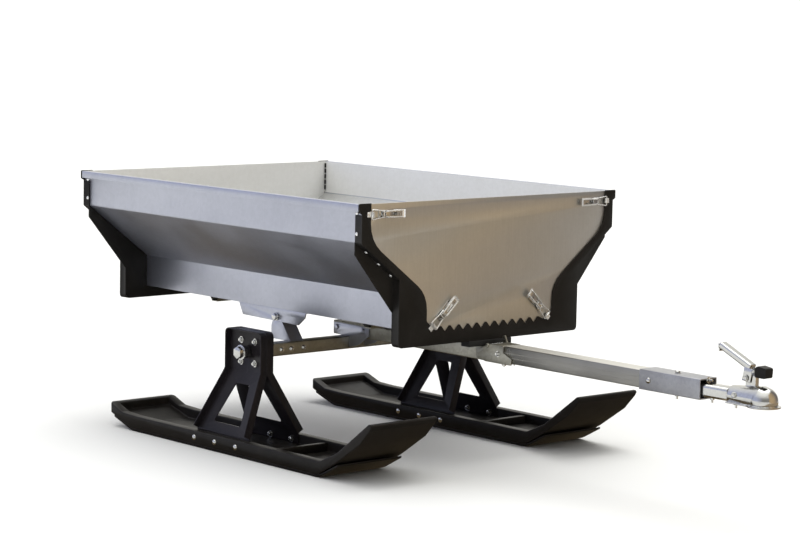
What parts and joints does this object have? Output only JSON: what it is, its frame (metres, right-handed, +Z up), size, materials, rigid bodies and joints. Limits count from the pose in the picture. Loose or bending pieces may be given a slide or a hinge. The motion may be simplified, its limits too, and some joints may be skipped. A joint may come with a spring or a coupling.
{
  "type": "tow behind spreader",
  "caption": "Tow-behind grit and dump box on pivoting skis: flared sheet-metal trough with latched end panels, tipping pivot, straight drawbar and ball coupler.",
  "frame": {"origin": "centre of the overall box in plan, on the ground under the skis' soles", "axes": "+X forward along the drawbar to the ball coupler, +Y to the sled's left, +Z up"},
  "size_m": [2.4767, 1.068, 0.7915],
  "materials": {
    "galvanised_sheet": "spangled hot-dip galvanised sheet, semi-matt",
    "end_sheet": "finely brushed galvanised end sheet with a warm cast",
    "black_frame": "satin black powder coat",
    "black_tower": "semi-gloss black powder coat",
    "ski_plastic": "moulded black polyethylene, satin, lightly scuffed",
    "hot_dip_steel": "dull hot-dip galvanised tube with an olive-grey cast",
    "aluminium": "mill-finish extruded aluminium",
    "zinc": "bright zinc-plated pressed steel",
    "rubber": "matt black rubber",
    "black_grip": "moulded black plastic, satin"
  },
  "bodies": {
    "chassis": {"axle_beam": "hot_dip_steel", "axle_bolt_left": "zinc", "axle_bolt_right": "zinc", "spine": "hot_dip_steel", "spine_gusset_left": "galvanised_sheet", "spine_gusset_right": "galvanised_sheet", "upright_left": "galvanised_sheet", "upright_right": "galvanised_sheet", "pivot_bolt_left": "zinc", "pivot_bolt_right": "zinc", "lock_block": "zinc", "stop_pad": "rubber", "drawbar": "aluminium", "drawbar_sleeve": "zinc", "coupler_shank": "zinc", "coupler_body": "zinc"},
    "box": {"box_side_left": "galvanised_sheet", "box_side_right": "galvanised_sheet", "box_floor": "galvanised_sheet", "floor_rib_front": "hot_dip_steel", "floor_rib_rear": "hot_dip_steel", "tip_bracket_left": "galvanised_sheet", "tip_bracket_right": "galvanised_sheet", "front_frame": "black_frame", "rear_frame": "black_frame", "front_panel": "end_sheet", "rear_panel": "end_sheet"},
    "ski_left_body": {"ski_left": "ski_plastic", "wear_plate_left": "ski_plastic", "cross_rib_left": "ski_plastic", "tower_outer_left": "black_tower", "tower_inner_left": "black_tower", "tower_hub_left": "hot_dip_steel"},
    "ski_right_body": {"ski_right": "ski_plastic", "wear_plate_right": "ski_plastic", "cross_rib_right": "ski_plastic", "tower_outer_right": "black_tower", "tower_inner_right": "black_tower", "tower_hub_right": "hot_dip_steel"},
    "coupler_lever_body": {"coupler_lever": "zinc"},
    "safety_catch_body": {"safety_catch": "black_grip"},
    "ball_clamp_body": {"ball_clamp": "zinc"},
    "tip_lock_body": {"tip_lock_lever": "zinc"},
    "front_top_left_lever_body": {"front_top_left_lever": "zinc"},
    "front_top_left_bail_body": {"front_top_left_bail": "zinc"},
    "front_top_right_lever_body": {"front_top_right_lever": "zinc"},
    "front_top_right_bail_body": {"front_top_right_bail": "zinc"},
    "front_low_left_lever_body": {"front_low_left_lever": "zinc"},
    "front_low_left_bail_body": {"front_low_left_bail": "zinc"},
    "front_low_right_lever_body": {"front_low_right_lever": "zinc"},
    "front_low_right_bail_body": {"front_low_right_bail": "zinc"},
    "rear_top_left_lever_body": {"rear_top_left_lever": "zinc"},
    "rear_top_left_bail_body": {"rear_top_left_bail": "zinc"},
    "rear_top_right_lever_body": {"rear_top_right_lever": "zinc"},
    "rear_top_right_bail_body": {"rear_top_right_bail": "zinc"},
    "rear_low_left_lever_body": {"rear_low_left_lever": "zinc"},
    "rear_low_left_bail_body": {"rear_low_left_bail": "zinc"},
    "rear_low_right_lever_body": {"rear_low_right_lever": "zinc"},
    "rear_low_right_bail_body": {"rear_low_right_bail": "zinc"}
  },
  "joints": [
    {"name": "box_tip", "type": "hinge", "parent": "chassis", "child": "box", "pos_m": [-0.52465, 0, 0.383], "axis": [0, -1, 0], "range_deg": [0, 30]},
    {"name": "ski_pitch_left", "type": "hinge", "parent": "chassis", "child": "ski_left_body", "pos_m": [-0.47265, 0.4095, 0.293], "axis": [0, 1, 0], "range_deg": [-12, 12]},
    {"name": "ski_pitch_right", "type": "hinge", "parent": "chassis", "child": "ski_right_body", "pos_m": [-0.47265, -0.4095, 0.293], "axis": [0, 1, 0], "range_deg": [-12, 12]},
    {"name": "coupler_lever_turn", "type": "hinge", "parent": "chassis", "child": "coupler_lever_body", "pos_m": [1.13935, 0, 0.39], "axis": [0, -1, 0], "range_deg": [0, 28]},
    {"name": "ball_clamp_turn", "type": "hinge", "parent": "chassis", "child": "ball_clamp_body", "pos_m": [1.13935, 0, 0.341], "axis": [0, -1, 0], "range_deg": [0, 10]},
    {"name": "safety_catch_press", "type": "hinge", "parent": "chassis", "child": "safety_catch_body", "pos_m": [1.17235, 0, 0.4], "axis": [0, 1, 0], "range_deg": [0, 10], "stiffness_Nm_per_rad": 0.4, "springref_deg": -11.46},
    {"name": "tip_lock_turn", "type": "hinge", "parent": "chassis", "child": "tip_lock_body", "pos_m": [0.17335, 0.0377, 0.36], "axis": [0, -1, 0], "range_deg": [0, 50]},
    {"name": "front_top_left_latch", "type": "hinge", "parent": "box", "child": "front_top_left_lever_body", "pos_m": [0.15405, 0.426, 0.76], "axis": [0, 0, 1], "range_deg": [0, 120]},
    {"name": "front_top_left_bail_turn", "type": "hinge", "parent": "front_top_left_lever_body", "child": "front_top_left_bail_body", "pos_m": [0.15255, 0.412, 0.76], "axis": [0, 0, 1], "range_deg": [-120, 0]},
    {"name": "front_top_right_latch", "type": "hinge", "parent": "box", "child": "front_top_right_lever_body", "pos_m": [0.15405, -0.426, 0.76], "axis": [0, 0, -1], "range_deg": [0, 120]},
    {"name": "front_top_right_bail_turn", "type": "hinge", "parent": "front_top_right_lever_body", "child": "front_top_right_bail_body", "pos_m": [0.15255, -0.412, 0.76], "axis": [0, 0, -1], "range_deg": [-120, 0]},
    {"name": "front_low_left_latch", "type": "hinge", "parent": "box", "child": "front_low_left_lever_body", "pos_m": [0.15405, 0.19828, 0.45564], "axis": [0, 0.682, 0.7314], "range_deg": [0, 120]},
    {"name": "front_low_left_bail_turn", "type": "hinge", "parent": "front_low_left_lever_body", "child": "front_low_left_bail_body", "pos_m": [0.15255, 0.18804, 0.46519], "axis": [0, 0.682, 0.7314], "range_deg": [-120, 0]},
    {"name": "front_low_right_latch", "type": "hinge", "parent": "box", "child": "front_low_right_lever_body", "pos_m": [0.15405, -0.19828, 0.45564], "axis": [0, 0.682, -0.7314], "range_deg": [0, 120]},
    {"name": "front_low_right_bail_turn", "type": "hinge", "parent": "front_low_right_lever_body", "child": "front_low_right_bail_body", "pos_m": [0.15255, -0.18804, 0.46519], "axis": [0, 0.682, -0.7314], "range_deg": [-120, 0]},
    {"name": "rear_top_left_latch", "type": "hinge", "parent": "box", "child": "rear_top_left_lever_body", "pos_m": [-1.23335, 0.426, 0.76], "axis": [0, 0, -1], "range_deg": [0, 120]},
    {"name": "rear_top_left_bail_turn", "type": "hinge", "parent": "rear_top_left_lever_body", "child": "rear_top_left_bail_body", "pos_m": [-1.23185, 0.412, 0.76], "axis": [0, 0, -1], "range_deg": [-120, 0]},
    {"name": "rear_top_right_latch", "type": "hinge", "parent": "box", "child": "rear_top_right_lever_body", "pos_m": [-1.23335, -0.426, 0.76], "axis": [0, 0, 1], "range_deg": [0, 120]},
    {"name": "rear_top_right_bail_turn", "type": "hinge", "parent": "rear_top_right_lever_body", "child": "rear_top_right_bail_body", "pos_m": [-1.23185, -0.412, 0.76], "axis": [0, 0, 1], "range_deg": [-120, 0]},
    {"name": "rear_low_left_latch", "type": "hinge", "parent": "box", "child": "rear_low_left_lever_body", "pos_m": [-1.23335, 0.19828, 0.45564], "axis": [0, -0.682, -0.7314], "range_deg": [0, 120]},
    {"name": "rear_low_left_bail_turn", "type": "hinge", "parent": "rear_low_left_lever_body", "child": "rear_low_left_bail_body", "pos_m": [-1.23185, 0.18804, 0.46519], "axis": [0, -0.682, -0.7314], "range_deg": [-120, 0]},
    {"name": "rear_low_right_latch", "type": "hinge", "parent": "box", "child": "rear_low_right_lever_body", "pos_m": [-1.23335, -0.19828, 0.45564], "axis": [0, -0.682, 0.7314], "range_deg": [0, 120]},
    {"name": "rear_low_right_bail_turn", "type": "hinge", "parent": "rear_low_right_lever_body", "child": "rear_low_right_bail_body", "pos_m": [-1.23185, -0.18804, 0.46519], "axis": [0, -0.682, 0.7314], "range_deg": [-120, 0]}
  ],
  "couplings": [
    {"joint": "ball_clamp_turn", "follows": "coupler_lever_turn", "ratio": 0.357},
    {"joint": "front_top_left_bail_turn", "follows": "front_top_left_latch", "ratio": -1},
    {"joint": "front_top_right_bail_turn", "follows": "front_top_right_latch", "ratio": -1},
    {"joint": "front_low_left_bail_turn", "follows": "front_low_left_latch", "ratio": -1},
    {"joint": "front_low_right_bail_turn", "follows": "front_low_right_latch", "ratio": -1},
    {"joint": "rear_top_left_bail_turn", "follows": "rear_top_left_latch", "ratio": -1},
    {"joint": "rear_top_right_bail_turn", "follows": "rear_top_right_latch", "ratio": -1},
    {"joint": "rear_low_left_bail_turn", "follows": "rear_low_left_latch", "ratio": -1},
    {"joint": "rear_low_right_bail_turn", "follows": "rear_low_right_latch", "ratio": -1}
  ]
}
